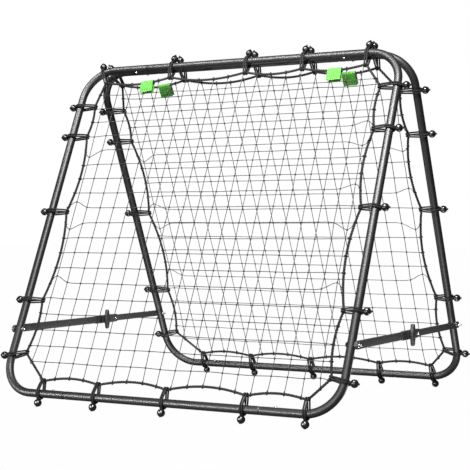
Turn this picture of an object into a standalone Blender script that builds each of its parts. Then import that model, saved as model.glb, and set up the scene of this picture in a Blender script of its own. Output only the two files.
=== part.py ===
"""Pitch back rebounder: two square tube frames hinged along the top, each with a net
strung on bungees, and a telescoping strut with a wing knob outside the legs at each side.
Metres, +Z up. X runs along the top bars, the front frame leans towards -Y."""

import math

import bmesh
import bpy
from mathutils import Matrix, Vector

# Frames: round tube, centre line sizes
FRAME_W = 1.240
FRAME_L = 1.240
TUBE_R = 0.0135
TUBE_WALL = 0.0014
CORNER_R = 0.115
SPLAY = math.radians(24.5)
TOP_GAP = 0.066
# Joints of the tubes: the bar's swaged end slides into the side tube
SEAM_X = 0.365
SWAGE_L = 0.085
SWAGE_GAP = 0.0003
SCREW_X = 0.412
SCREW_HOLE_R = 0.0027
# Bungees: an elastic loop round the tube and the border rope, with a ball outside the tube
BALL_R = 0.013
BALL_OUT = 0.0318
ELASTIC_R = 0.0022
TOP_AT = (-0.565, -0.260, 0.045, 0.263, 0.497)
BOTTOM_AT = (-0.461, -0.241, 0.019, 0.304, 0.518)
LEFT_AT = (0.150, 0.273, 0.573, 0.910, 1.115)
RIGHT_AT = (0.131, 0.287, 0.565, 0.910, 1.137)
# Border rope and net
ROPE_R = 0.004
ROPE_IN_ENDS = 0.043
ROPE_IN_SIDES = 0.057
ROPE_BOW = 0.068
NET_INSET = 0.0125
NET_T = 0.0016
# Fabric tags folded over the top border rope
TAG_W = 0.050
TAG_DROP = 0.046
TAG_T = 0.0010
TAG_EASE = 0.0022
TAG_AT = (-0.350, 0.388)
# Hinges between the top bars
HINGE_X = (-0.150, 0.150)
HINGE_W = 0.044
BARREL_R = 0.008
PIN_R = 0.003
# Struts, on the outside of the legs: an outer tube bolted to the front leg, an inner tube
# bolted to the back one, and a plastic clamp with a wing knob where they meet
STRUT_T = 1.018
OUTER_H = 0.026
OUTER_B = 0.010
OUTER_WALL = 0.0012
INNER_H = 0.023
INNER_B = 0.007
INNER_WALL = 0.0012
INNER_FRONT = -0.150
CLAMP_H = 0.030
CLAMP_B = 0.014
KNOB_Y = {"left": 0.080, "right": -0.036}
CLAMP_BEFORE = 0.052
CLAMP_BEHIND = 0.084
SCREW_BEHIND = 0.074
BOLT_R = 0.003
BOLT_HOLE_R = 0.0034
SLOT_HALF = 0.003
GAP = 0.0003

FLAT_CUT = 0.0005
TOP_Z = (FRAME_L + BALL_OUT) * math.cos(SPLAY) + BALL_R - FLAT_CUT
AXIS_S, AXIS_N, AXIS_T = Vector((1, 0, 0)), Vector((0, 1, 0)), Vector((0, 0, 1))

for old in list(bpy.data.objects):
    bpy.data.objects.remove(old)
parts = bpy.context.scene.collection
tools = bpy.data.collections.new("cutters_and_pieces")
parts.children.link(tools)


def frame_matrix(side):
    """(s, n, t) to the world: s along X, t down the frame from its top bar, n towards the
    other frame. side is -1 for the front frame and 1 for the back one."""
    c, s = math.cos(SPLAY), math.sin(SPLAY)
    return Matrix(
        (
            (1, 0, 0, 0),
            (0, -side * c, side * s, side * TOP_GAP / 2),
            (0, -s, -c, TOP_Z),
            (0, 0, 0, 1),
        )
    )


# Meshes


def ring(bm, centre, a, b, radius, segments):
    turn = 2 * math.pi / segments
    return [
        bm.verts.new(centre + radius * (math.cos(k * turn) * a + math.sin(k * turn) * b))
        for k in range(segments)
    ]


def bridge(bm, first, second):
    count = len(first)
    for k in range(count):
        j = (k + 1) % count
        bm.faces.new((first[k], first[j], second[j], second[k]))


def sweep(bm, path, plane, radii, segments, closed=False, capped=True):
    """A round section along a path that lies in the plane with that normal."""
    rings = []
    for k, point in enumerate(path):
        after = path[(k + 1) % len(path)] if closed or k + 1 < len(path) else point
        before = path[k - 1] if closed or k else point
        along = (after - before).normalized()
        rings.append(ring(bm, point, along.cross(plane), plane, radii[k], segments))
    for k in range(len(rings) - (0 if closed else 1)):
        bridge(bm, rings[k], rings[(k + 1) % len(rings)])
    if capped and not closed:
        bm.faces.new(rings[0])
        bm.faces.new(rings[-1])
    return rings


def pipe(path, plane, outer, inner, segments):
    bm = bmesh.new()
    skin = sweep(bm, path, plane, outer, segments, capped=False)
    bore = sweep(bm, path, plane, inner, segments, capped=False)
    bridge(bm, skin[0], bore[0])
    bridge(bm, skin[-1], bore[-1])
    return bm


def turned(bm, origin, axis, side, profile, segments):
    """A solid of revolution from (distance along the axis, radius) pairs, ends closed."""
    across = axis.cross(side)
    rings = [ring(bm, origin + d * axis, side, across, r, segments) for d, r in profile]
    for first, second in zip(rings, rings[1:]):
        bridge(bm, first, second)
    bm.faces.new(rings[0])
    bm.faces.new(rings[-1])


def prism(bm, outline, step):
    """A flat outline pushed along step."""
    first = [bm.verts.new(p) for p in outline]
    second = [bm.verts.new(p + step) for p in outline]
    bm.faces.new(first)
    bm.faces.new(second)
    bridge(bm, first, second)


def box(bm, low, high):
    (x0, y0, z0), (x1, y1, z1) = low, high
    base = [Vector((x, y, z0)) for x, y in ((x0, y0), (x1, y0), (x1, y1), (x0, y1))]
    prism(bm, base, Vector((0, 0, z1 - z0)))


def arc(centre, a, b, radius, start, end, steps):
    for k in range(steps + 1):
        turn = math.radians(start + (end - start) * k / steps)
        yield centre + radius * (math.cos(turn) * a + math.sin(turn) * b)


# Objects


def add(name, bm, matrix=None, tool=False):
    if matrix:
        bmesh.ops.transform(bm, matrix=matrix, verts=bm.verts)
    bmesh.ops.recalc_face_normals(bm, faces=bm.faces)
    mesh = bpy.data.meshes.new(name)
    bm.to_mesh(mesh)
    bm.free()
    made = bpy.data.objects.new(name, mesh)
    if tool:
        tools.objects.link(made)
        made.hide_render = True
        made.display_type = "WIRE"
    else:
        parts.objects.link(made)
    return made


def combine(target, operation, *others):
    for other in others:
        modifier = target.modifiers.new(other.name, "BOOLEAN")
        modifier.operation = operation
        modifier.solver = "MANIFOLD"
        modifier.object = other


def cylinder(name, origin, axis, side, length, radius, matrix=None, segments=10):
    bm = bmesh.new()
    turned(bm, origin, axis, side, [(0, radius), (length, radius)], segments)
    return add(name, bm, matrix, tool=True)


# Frame tubes


def side_path(hand):
    """One side tube: from its seam in the top bar round both corners to the bottom one."""
    x, r = FRAME_W / 2 - CORNER_R, CORNER_R
    top, bottom = Vector((hand * x, 0, r)), Vector((hand * x, 0, FRAME_L - r))
    out = hand * AXIS_S
    path = [Vector((hand * SEAM_X, 0, 0)), Vector((hand * (SEAM_X + SWAGE_L + 0.01), 0, 0))]
    path += arc(top, out, AXIS_T, r, -90, 0, 6)
    path += arc(bottom, out, AXIS_T, r, 0, 90, 6)
    path += [Vector((p.x, 0, FRAME_L)) for p in reversed(path[:2])]
    return path


def frame_tubes(label, side):
    to_world = frame_matrix(side)
    holes = {}
    for level, t, inward in (("top", 0, AXIS_T), ("bottom", FRAME_L, -AXIS_T)):
        for hand, word in ((-1, "left"), (1, "right")):
            at = Vector((hand * SCREW_X, 0, t))
            holes[level, hand] = cylinder(
                f"{label}_{level}_{word}_screw_hole", at + inward * 0.006, inward,
                AXIS_S, 0.012, SCREW_HOLE_R, to_world,
            )
            bm = bmesh.new()
            profile = [
                (0.0085, 0.0014), (0.0100, 0.0022), (TUBE_R + 0.0003, 0.0022),
                (TUBE_R + 0.0003, 0.0048), (TUBE_R + 0.0024, 0.0046), (TUBE_R + 0.0034, 0.0028),
            ]
            turned(bm, at, inward, AXIS_S, profile, 8)
            add(f"{label}_{level}_{word}_screw", bm, to_world)
    for hand, word in ((-1, "left"), (1, "right")):
        path = side_path(hand)
        skin, bore = [TUBE_R] * len(path), [TUBE_R - TUBE_WALL] * len(path)
        tube = add(f"{label}_side_tube_{word}", pipe(path, AXIS_N, skin, bore, 14), to_world)
        bolt_hole = cylinder(
            f"{label}_{word}_leg_bolt_hole", Vector((hand * FRAME_W / 2 - 0.02, 0, STRUT_T)),
            AXIS_S, AXIS_N, 0.04, BOLT_HOLE_R, to_world,
        )
        combine(tube, "DIFFERENCE", holes["top", hand], holes["bottom", hand], bolt_hole)
    for level, t in (("top", 0), ("bottom", FRAME_L)):
        swaged = TUBE_R - TUBE_WALL - SWAGE_GAP
        tip, neck, full = SEAM_X + SWAGE_L, SEAM_X - 0.001, SEAM_X - 0.009
        stops = [(-tip, swaged - 0.001), (0.004 - tip, swaged), (-neck, swaged), (-full, TUBE_R)]
        stops += [(-s, r) for s, r in reversed(stops)]
        path = [Vector((s, 0, t)) for s, _ in stops]
        skin = [r for _, r in stops]
        bar = add(
            f"{label}_{level}_bar",
            pipe(path, AXIS_N, skin, [r - TUBE_WALL for r in skin], 14), to_world,
        )
        combine(bar, "DIFFERENCE", holes[level, -1], holes[level, 1])


# Bungees and border rope


def station(edge, at):
    """Where a bungee crosses the tube's centre line, and the way out of the frame there."""
    half, straight = FRAME_W / 2, FRAME_W / 2 - CORNER_R
    if edge in ("top", "bottom"):
        beyond, hand = abs(at) - straight, math.copysign(1, at)
        up = -1 if edge == "top" else 1
        level = 0 if up < 0 else FRAME_L
        if beyond <= 0:
            return Vector((at, 0, level)), up * AXIS_T
        turn = math.asin(beyond / (CORNER_R + BALL_OUT))
        out = Vector((hand * math.sin(turn), 0, up * math.cos(turn)))
        return Vector((hand * straight, 0, level - up * CORNER_R)) + CORNER_R * out, out
    hand = -1 if edge == "left" else 1
    beyond = at - (FRAME_L - CORNER_R)
    if beyond <= 0:
        return Vector((hand * half, 0, at)), hand * AXIS_S
    turn = math.asin(beyond / (CORNER_R + BALL_OUT))
    out = Vector((hand * math.cos(turn), 0, math.sin(turn)))
    return Vector((hand * straight, 0, FRAME_L - CORNER_R)) + CORNER_R * out, out


def stations():
    """The twenty bungees in order round the frame: (edge, number, point, way out, rope)."""
    order = (
        ("top", TOP_AT, ROPE_IN_ENDS, 1), ("right", RIGHT_AT, ROPE_IN_SIDES, 1),
        ("bottom", BOTTOM_AT, ROPE_IN_ENDS, -1), ("left", LEFT_AT, ROPE_IN_SIDES, -1),
    )
    for edge, places, depth, way in order:
        for number, at in list(enumerate(places, 1))[::way]:
            point, out = station(edge, at)
            yield edge, number, point, out, point - depth * out


def rope_path():
    """The border rope: held out at each bungee, bowing inwards between them."""
    held = list(stations())
    path = []
    for k, (edge, _, _, out, here) in enumerate(held):
        next_edge, _, _, next_out, there = held[(k + 1) % len(held)]
        span = there - here
        inward = -(out + next_out).normalized()
        bow = ROPE_BOW * span.length if edge == next_edge else 0
        for part in (0, 0.15, 0.38, 0.62, 0.85):
            path.append(here + part * span + 4 * bow * part * (1 - part) * inward)
    return path


def bungee(name, to_world, point, out, depth, wrap):
    """The elastic loop and its ball. wrap is the loop's distance from the rope's centre."""
    plane = out.cross(AXIS_N)
    half = [
        (0.0235, 0.0028), (0.0155, 0.0106), (0.0086, 0.0150), (-0.0020, 0.0168),
        (-depth, wrap), (-depth - 0.71 * wrap, 0.71 * wrap),
    ]
    loop = half + [(-depth - wrap, 0)] + [(u, -v) for u, v in reversed(half)]
    path = [point + u * out + v * AXIS_N for u, v in loop]
    bm = bmesh.new()
    sweep(bm, path, plane, [ELASTIC_R] * len(path), 5)
    elastic = bm
    ball = bmesh.new()
    profile = [(-BALL_R - 0.0016, 0.0050)]
    profile += [(BALL_R * math.sin(math.radians(a)), BALL_R * math.cos(math.radians(a))) for a in (-38, 5, 50)]
    profile += [(BALL_R + 0.0034, 0.0018)]
    turned(ball, point + BALL_OUT * out, out, AXIS_N, profile, 8)
    if wrap > ROPE_R + ELASTIC_R:
        bmesh.ops.transform(ball, matrix=to_world, verts=ball.verts)
        bmesh.ops.bisect_plane(
            ball, geom=ball.verts[:] + ball.edges[:] + ball.faces[:],
            plane_co=(0, 0, 0), plane_no=(0, 0, -1), clear_outer=True,
        )
        rim = [e for e in ball.edges if e.is_boundary]
        if rim:
            bmesh.ops.contextual_create(ball, geom=rim)
        to_ball = None
    else:
        to_ball = to_world
    return elastic, ball, to_ball


def strung_net(label, side):
    to_world = frame_matrix(side)
    path = rope_path()
    bm = bmesh.new()
    sweep(bm, path, AXIS_N, [ROPE_R] * len(path), 6, closed=True)
    rope = add(f"{label}_border_rope_and_bungees", bm, to_world)
    for edge, number, point, out, held in stations():
        name = f"{label}_bungee_{edge}_{number}"
        standing = edge == "bottom"
        wrap = 0.0084 if standing else 0.0052
        depth = (point - held).length
        elastic, ball, to_ball = bungee(name, to_world, point, out, depth, wrap)
        loop = add(name if standing else name + "_loop", elastic, to_world, tool=not standing)
        knob = add(name + "_ball", ball, to_ball, tool=True)
        if standing:
            combine(loop, "UNION", knob)
        else:
            combine(rope, "UNION", loop, knob)
    inset = []
    for k, point in enumerate(path):
        along = (path[(k + 1) % len(path)] - path[k - 1]).normalized()
        inset.append(point + NET_INSET * along.cross(AXIS_N) - NET_T / 2 * AXIS_N)
    bm = bmesh.new()
    prism(bm, inset, NET_T * AXIS_N)
    add(f"{label}_net", bm, to_world)
    for number, at in enumerate(TAG_AT, 1):
        add(f"{label}_tag_{number}", tag(path, at), to_world)


def tag(path, at):
    """A strip of fabric folded over the rope, its two flaps hanging either side of the net."""
    top = [p for p in path if abs(p.z) < 0.2]
    left, right = next((a, b) for a, b in zip(top, top[1:]) if a.x <= at <= b.x)
    along = (right - left).normalized()
    centre = left + along * ((at - left.x) / along.x)
    down = along.cross(AXIS_N)
    inner, outer = ROPE_R + TAG_EASE, ROPE_R + TAG_EASE + TAG_T
    start = centre - TAG_W / 2 * along
    outline = [start + TAG_DROP * down + outer * AXIS_N]
    outline += arc(start, AXIS_N, -down, outer, 0, 180, 6)
    outline += [start + TAG_DROP * down - outer * AXIS_N, start + TAG_DROP * down - inner * AXIS_N]
    outline += arc(start, AXIS_N, -down, inner, 180, 0, 6)
    outline += [start + TAG_DROP * down + inner * AXIS_N]
    bm = bmesh.new()
    prism(bm, outline, TAG_W * along)
    return bm


# Hinges


def hinge(number, x):
    """The front leaf carries the pin and the two end knuckles, the back leaf turns on it."""
    axis = Vector((0, 0, TOP_Z))
    y, z = Vector((0, 1, 0)), Vector((0, 0, 1))
    knuckle = 0.013
    for label, side in (("front", -1), ("back", 1)):
        bar = axis + side * TOP_GAP / 2 * y
        low, high = TUBE_R + GAP, TUBE_R + GAP + 0.0025
        outline = list(arc(bar, -side * y, z, high, -52, 52, 5)) + list(arc(bar, -side * y, z, low, 52, -52, 5))
        start = Vector((x - HINGE_W / 2, 0, 0))
        bm = bmesh.new()
        prism(bm, [start + p for p in outline], HINGE_W * AXIS_S)
        leaf = add(f"{label}_hinge_leaf_{number}", bm)
        if side < 0:
            spans = ((-HINGE_W / 2, knuckle), (HINGE_W / 2 - knuckle, knuckle))
        else:
            spans = ((-HINGE_W / 2 + knuckle + 0.0005, HINGE_W - 2 * knuckle - 0.001),)
        for k, (offset, width) in enumerate(spans):
            origin = axis + (x + offset) * AXIS_S
            barrel = cylinder(f"{leaf.name}_barrel_{k}", origin, AXIS_S, y, width, BARREL_R, segments=14)
            ys = sorted((side * 0.005, side * (TOP_GAP / 2 - TUBE_R - 0.0015)))
            bm = bmesh.new()
            box(bm, (origin.x + 0.0002, ys[0], TOP_Z - 0.003), (origin.x + width - 0.0002, ys[1], TOP_Z + 0.003))
            arm = add(f"{leaf.name}_arm_{k}", bm, tool=True)
            combine(leaf, "UNION", barrel, arm)
        pin_radius = PIN_R if side < 0 else PIN_R + 0.0004
        pin = cylinder(
            f"{leaf.name}_pin", axis + (x - HINGE_W / 2 - 0.002) * AXIS_S, AXIS_S, y,
            HINGE_W + 0.004, pin_radius, segments=12,
        )
        combine(leaf, "UNION" if side < 0 else "DIFFERENCE", pin)


# Struts


def bar_tube(height, breadth, wall, y0, y1, x, z):
    bm = bmesh.new()
    loops = []
    for y in (y0, y1):
        for inset in (0, wall):
            h, b = height / 2 - inset, breadth / 2 - inset
            corners = ((-b, -h), (b, -h), (b, h), (-b, h))
            loops.append([bm.verts.new((x + dx, y, z + dz)) for dx, dz in corners])
    bridge(bm, loops[0], loops[2])
    bridge(bm, loops[1], loops[3])
    bridge(bm, loops[0], loops[1])
    bridge(bm, loops[2], loops[3])
    return bm


def round_ended(pivot, end_y, height, breadth, wall):
    """A rectangular tube from end_y to the pivot, closed and rounded round its bolt there."""
    y_axis, z_axis = Vector((0, 1, 0)), Vector((0, 0, 1))
    way = 1 if pivot.y > end_y else -1
    outline = list(arc(pivot, way * y_axis, z_axis, height / 2, -90, 90, 10))
    outline += [Vector((pivot.x, end_y, pivot.z + up)) for up in (height / 2, -height / 2)]
    bm = bmesh.new()
    prism(bm, [p - breadth / 2 * AXIS_S for p in outline], breadth * AXIS_S)
    skin = add(f"tube_to_{pivot.x:.3f}_{pivot.y:.3f}", bm)
    ys = sorted((end_y - way * 0.01, pivot.y - way * (height / 2 + 0.004)))
    half_b, half_h = breadth / 2 - wall, height / 2 - wall
    bm = bmesh.new()
    box(bm, (pivot.x - half_b, ys[0], pivot.z - half_h), (pivot.x + half_b, ys[1], pivot.z + half_h))
    combine(skin, "DIFFERENCE", add(f"{skin.name}_bore", bm, tool=True))
    return skin


def pivot_bolt(name, pivot, low, high, spacer):
    """Bolt along X with a domed cap at the low end, a nut and its thread at the high end,
    and a spacer on it between the leg and the strut's inner tube."""
    profile = [
        (low - 0.0046, 0.0026), (low - 0.0040, 0.0050), (low - 0.0026, 0.0072),
        (low - 0.0008, 0.0084), (low, 0.0084), (low, BOLT_R),
    ]
    if spacer:
        profile += [(spacer[0], BOLT_R), (spacer[0], 0.006), (spacer[1], 0.006), (spacer[1], BOLT_R)]
    profile += [
        (high, BOLT_R), (high, 0.0056), (high + 0.0048, 0.0056),
        (high + 0.0049, BOLT_R), (high + 0.0100, BOLT_R), (high + 0.0108, 0.0022),
    ]
    bm = bmesh.new()
    turned(bm, Vector((0, pivot.y, pivot.z)), AXIS_S, AXIS_N, profile, 12)
    add(name, bm)


def strut(word, hand):
    leg = hand * FRAME_W / 2
    x = hand * (FRAME_W / 2 + TUBE_R + GAP + OUTER_B / 2)
    front, rear = (frame_matrix(side) @ Vector((leg, 0, STRUT_T)) for side in (-1, 1))
    front.x = rear.x = x
    z, knob_y = front.z, KNOB_Y[word]
    clamp_y = (knob_y - CLAMP_BEFORE, knob_y + CLAMP_BEHIND)
    outer_rear = clamp_y[1] - 0.010
    for end, pivot, breadth in (("front", front, OUTER_B), ("rear", rear, INNER_B)):
        seats = sorted((leg - hand * (TUBE_R + GAP), x + hand * (breadth / 2 + GAP)))
        spacer = None
        if end == "rear":
            spacer = sorted((leg + hand * (TUBE_R + GAP), x - hand * (breadth / 2 + GAP)))
        pivot_bolt(f"{word}_{end}_pivot_bolt", pivot, *seats, spacer)
    outer = round_ended(front, outer_rear, OUTER_H, OUTER_B, OUTER_WALL)
    inner = round_ended(rear, INNER_FRONT, INNER_H, INNER_B, INNER_WALL)
    outer.name, inner.name = f"{word}_strut_outer", f"{word}_strut_inner"
    clamp = add(
        f"{word}_clamp",
        bar_tube(CLAMP_H, CLAMP_B, (CLAMP_H - OUTER_H) / 2 - GAP, clamp_y[0], clamp_y[1], x, z),
    )
    lip = add(
        f"{word}_clamp_lip",
        bar_tube(CLAMP_H - 0.0006, CLAMP_B - 0.0006, (CLAMP_H - INNER_H) / 2 - 0.0010,
                 outer_rear + 0.001, clamp_y[1] - 0.0003, x, z),
        tool=True,
    )
    combine(clamp, "UNION", lip)
    y_axis = Vector((0, 1, 0))
    front_hole = cylinder(f"{word}_front_hole", front - 0.02 * AXIS_S, AXIS_S, y_axis, 0.04, BOLT_HOLE_R)
    combine(outer, "DIFFERENCE", front_hole)
    slot = []
    for turn, shift in ((-90, SLOT_HALF), (90, -SLOT_HALF)):
        centre = rear - 0.02 * AXIS_S + shift * y_axis
        slot += arc(centre, y_axis, Vector((0, 0, 1)), BOLT_HOLE_R, turn, turn + 180, 8)
    bm = bmesh.new()
    prism(bm, slot, 0.04 * AXIS_S)
    combine(inner, "DIFFERENCE", add(f"{word}_rear_slot", bm, tool=True))
    face = x + CLAMP_B / 2
    screw_y = knob_y + SCREW_BEHIND
    for name, y, radius in (("stud", knob_y, 0.0036), ("guide", screw_y - 0.001, 0.0026)):
        hole = cylinder(
            f"{word}_{name}_hole", Vector((x + 0.0037, y, z)), AXIS_S, y_axis, 0.007, radius
        )
        combine(clamp, "DIFFERENCE", hole)
        combine(outer, "DIFFERENCE", hole)
    bm = bmesh.new()
    profile = [
        (-0.0030, 0.0014), (-0.0022, 0.0020), (0.0003, 0.0020), (0.0003, 0.0052),
        (0.0022, 0.0048), (0.0032, 0.0026),
    ]
    turned(bm, Vector((face, screw_y - 0.001, z)), AXIS_S, y_axis, profile, 8)
    add(f"{word}_guide_screw", bm)
    knob(f"{word}_wing_knob", Vector((face, knob_y, z)))


def knob(name, at):
    """A threaded stud and hub with two upright wings."""
    y_axis, z_axis = Vector((0, 1, 0)), Vector((0, 0, 1))
    bm = bmesh.new()
    levels = ((0.036, 0.0036, 0.0048), (0.033, 0.0046, 0.0056), (0.012, 0.0072, 0.0064))
    rings = []
    for up, wide, thick in levels + tuple((-u, w, t) for u, w, t in reversed(levels)):
        centre = at + 0.0085 * AXIS_S + up * z_axis
        corners = []
        for a in range(0, 360, 45):
            turn = math.radians(a + 22.5)
            corners.append(bm.verts.new(centre + thick * math.cos(turn) * AXIS_S + wide * math.sin(turn) * y_axis))
        rings.append(corners)
    for first, second in zip(rings, rings[1:]):
        bridge(bm, first, second)
    bm.faces.new(rings[0])
    bm.faces.new(rings[-1])
    wing = add(name, bm)
    bm = bmesh.new()
    profile = [
        (-0.0030, 0.0030), (0.0005, 0.0030), (0.0005, 0.0092), (0.0130, 0.0086), (0.0155, 0.0064),
    ]
    turned(bm, at, AXIS_S, y_axis, profile, 12)
    combine(wing, "UNION", add(f"{name}_hub", bm, tool=True))


for label, side in (("front", -1), ("back", 1)):
    frame_tubes(label, side)
    strung_net(label, side)
for number, x in enumerate(HINGE_X, 1):
    hinge(number, x)
for word, hand in (("left", -1), ("right", 1)):
    strut(word, hand)
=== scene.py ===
import math
import random

import bmesh
import bpy
from mathutils import Matrix, Vector


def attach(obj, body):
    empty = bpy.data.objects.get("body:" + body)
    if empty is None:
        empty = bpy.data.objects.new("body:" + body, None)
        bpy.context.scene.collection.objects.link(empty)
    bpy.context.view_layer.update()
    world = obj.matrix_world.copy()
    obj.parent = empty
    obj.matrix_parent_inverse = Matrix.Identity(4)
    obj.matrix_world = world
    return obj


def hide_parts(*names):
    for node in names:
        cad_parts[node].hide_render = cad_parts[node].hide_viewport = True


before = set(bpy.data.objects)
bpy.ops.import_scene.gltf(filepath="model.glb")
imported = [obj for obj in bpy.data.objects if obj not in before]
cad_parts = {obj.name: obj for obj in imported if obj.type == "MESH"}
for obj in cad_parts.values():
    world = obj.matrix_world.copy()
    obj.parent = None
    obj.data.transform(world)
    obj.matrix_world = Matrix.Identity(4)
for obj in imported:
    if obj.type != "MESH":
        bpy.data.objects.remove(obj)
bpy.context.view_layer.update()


# ---------------------------------------------------------------------------
# The studio: white seamless paper and backdrop in a dim grey room. Five soft boxes stand round
# the rebounder and two strips lie inside it on the floor, so that each black tube shows a line.


def from_hex(text):
    """An sRGB hex colour as linear RGBA."""
    parts = [int(text[i : i + 2], 16) / 255 for i in (1, 3, 5)]
    return [c / 12.92 if c <= 0.04045 else ((c + 0.055) / 1.055) ** 2.4 for c in parts] + [1.0]


def add_node(material, kind, settings=None, numbered=None, **links):
    """Add a node. settings are its properties and socket values, links join its sockets to others
    by name, numbered by number, for a node whose sockets share a name."""
    tree = material.node_tree
    node = tree.nodes.new(kind)
    for key, value in (settings or {}).items():
        if isinstance(key, int) or key in node.inputs:
            node.inputs[key].default_value = value
        else:
            setattr(node, key, value)
    for number, source in (numbered or {}).items():
        tree.links.new(source, node.inputs[number])
    for name, source in links.items():
        tree.links.new(source, node.inputs[name.replace("_", " ")])
    return node


def new_material(name):
    """A material with no nodes in it yet."""
    material = bpy.data.materials.new(name)
    material.use_nodes = True
    material.node_tree.nodes.clear()
    return material


# Seamless paper with faint fibres: the eye sees the white backdrop through it, and the black
# pieces mirror it as dull grey, because a white floor would wash them out.
floor_paper = new_material("lit_seamless_paper")
where = add_node(floor_paper, "ShaderNodeTexCoord")
fibres = add_node(
    floor_paper, "ShaderNodeTexNoise", {"Scale": 3.0, "Detail": 2.0}, Vector=where.outputs["Object"]
)
tint = add_node(
    floor_paper, "ShaderNodeMix", {"data_type": "RGBA", 6: from_hex("#565656"), 7: from_hex("#666666")},
    {0: fibres.outputs["Fac"]},
)
paper = add_node(floor_paper, "ShaderNodeBsdfDiffuse", Color=tint.outputs[2])
glow = add_node(floor_paper, "ShaderNodeBsdfTransparent")
rays = add_node(floor_paper, "ShaderNodeLightPath")
share = add_node(
    floor_paper, "ShaderNodeMath", {"operation": "MULTIPLY", 1: 0.99}, {0: rays.outputs["Is Camera Ray"]}
)
blend = add_node(
    floor_paper, "ShaderNodeMixShader", None, {0: share.outputs[0], 1: paper.outputs[0], 2: glow.outputs[0]}
)
add_node(floor_paper, "ShaderNodeOutputMaterial", Surface=blend.outputs[0])

FLOOR_HALF, FLOOR_Z = 30, -0.0005
sheet_mesh = bpy.data.meshes.new("studio_floor")
corners = [(x * FLOOR_HALF, y * FLOOR_HALF, FLOOR_Z) for x, y in ((-1, -1), (1, -1), (1, 1), (-1, 1))]
sheet_mesh.from_pydata(corners, [], [(0, 1, 2, 3)])
sheet_mesh.materials.append(floor_paper)
studio_floor = bpy.data.objects.new("studio_floor", sheet_mesh)
bpy.context.collection.objects.link(studio_floor)


def add_soft_box(name, place, turn, size, power, spread=180):
    lamp = bpy.data.lights.new(name, "AREA")
    lamp.shape, lamp.size, lamp.size_y, lamp.energy = "RECTANGLE", size[0], size[1], power
    lamp.spread = math.radians(spread)
    soft_box = bpy.data.objects.new(name, lamp)
    soft_box.location, soft_box.rotation_euler = place, turn
    bpy.context.collection.objects.link(soft_box)
    return soft_box


for name, place, target, size, power, spread in (
    ("tall_strip_box", (1.25, -3.8, 0.95), (0, 0, 0.55), (0.6, 1.5), 62, 180),
    ("bar_strip_box", (-0.6, -1.25, 2.25), (-0.05, 0, 1.17), (2.6, 0.3), 18, 55),
    ("leg_soft_box", (0.95, -1.85, 3.0), (0.1, -0.2, 0.6), (0.9, 0.35), 60, 90),
    ("low_strip_box", (-1.0, -2.1, 0.32), (-0.1, -0.53, 0.03), (2.0, 0.25), 12, 60),
    ("rim_soft_box", (-1.5, 4.5, 3.0), (0, 0, 0.8), (2.4, 0.6), 40, 180),
):
    aim = (Vector(target) - Vector(place)).to_track_quat("-Z", "Y").to_euler()
    add_soft_box(name, place, aim, size, power, spread)
for name, place, heading in (
    ("left_floor_strip", (-0.42, 0.05, 0.03), 24), ("right_floor_strip", (0.74, 0.02, 0.03), 12),
):
    strip = add_soft_box(name, place, (math.pi, 0, math.radians(heading)), (0.10, 0.8), 3)
    strip.visible_camera = False

surround = bpy.data.worlds.new("studio_surround")
surround.use_nodes = True
surround.node_tree.nodes.clear()
rays = add_node(surround, "ShaderNodeLightPath")
backdrop = add_node(
    surround, "ShaderNodeMix", {"data_type": "RGBA", 6: (0.09, 0.09, 0.094, 1), 7: (1, 1, 1, 1)},
    {0: rays.outputs["Is Camera Ray"]},
)
glow = add_node(surround, "ShaderNodeBackground", Color=backdrop.outputs[2])
add_node(surround, "ShaderNodeOutputWorld", Surface=glow.outputs[0])
bpy.context.scene.world = surround
bpy.context.scene.view_settings.view_transform = "Standard"

lens = bpy.data.cameras.new("camera")
lens.sensor_width, lens.lens = 36.0, 97.7
lens.clip_start, lens.clip_end = 0.05, 200
camera = bpy.data.objects.new("camera", lens)
camera.location = (2.137, -3.948, 0.595)
camera.rotation_euler = (math.radians(89.63), 0, math.radians(28.69))
bpy.context.collection.objects.link(camera)
bpy.context.scene.camera = camera


# ---------------------------------------------------------------------------
# Frame tubes: 27 mm round steel tube. Each frame is two C-shaped side tubes, bent cold,
# and a straight top and bottom bar whose swaged ends slide into them; all powder coated.

X, Y, Z = Vector((1, 0, 0)), Vector((0, 1, 0)), Vector((0, 0, 1))
FRAME_W = FRAME_L = 1.240
TUBE_R, TUBE_WALL = 0.0135, 0.0014
CORNER_R = 0.115
SPLAY = math.radians(24.5)
TOP_GAP = 0.066
TOP_Z = 1.169789
SEAM_X, SWAGE_L = 0.365, 0.085
SIDES = (("front", -1), ("back", 1))
HANDS = (("left", -1), ("right", 1))


def place_on_frame(side):
    """From (s across, n inwards, t down) on a frame to the world."""
    c, s = math.cos(SPLAY), math.sin(SPLAY)
    return Matrix(
        ((1, 0, 0, 0), (0, -side * c, side * s, side * TOP_GAP / 2), (0, -s, -c, TOP_Z), (0, 0, 0, 1))
    )


def add_ring(bm, centre, a, b, radius, sides):
    turn = 2 * math.pi / sides
    return [
        bm.verts.new(centre + radius * (math.cos(k * turn) * a + math.sin(k * turn) * b))
        for k in range(sides)
    ]


def join_rings(bm, first, second, from_m=0.0, to_m=0.0, round_m=0.0):
    """Faces between two rings, with UVs in metres along and round the piece."""
    uv = bm.loops.layers.uv.verify()
    count = len(first)
    for k in range(count):
        j = (k + 1) % count
        face = bm.faces.new((first[k], first[j], second[j], second[k]))
        spots = ((from_m, k), (from_m, k + 1), (to_m, k + 1), (to_m, k))
        for loop, (along, step) in zip(face.loops, spots):
            loop[uv].uv = (along, step / count * round_m)


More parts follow.
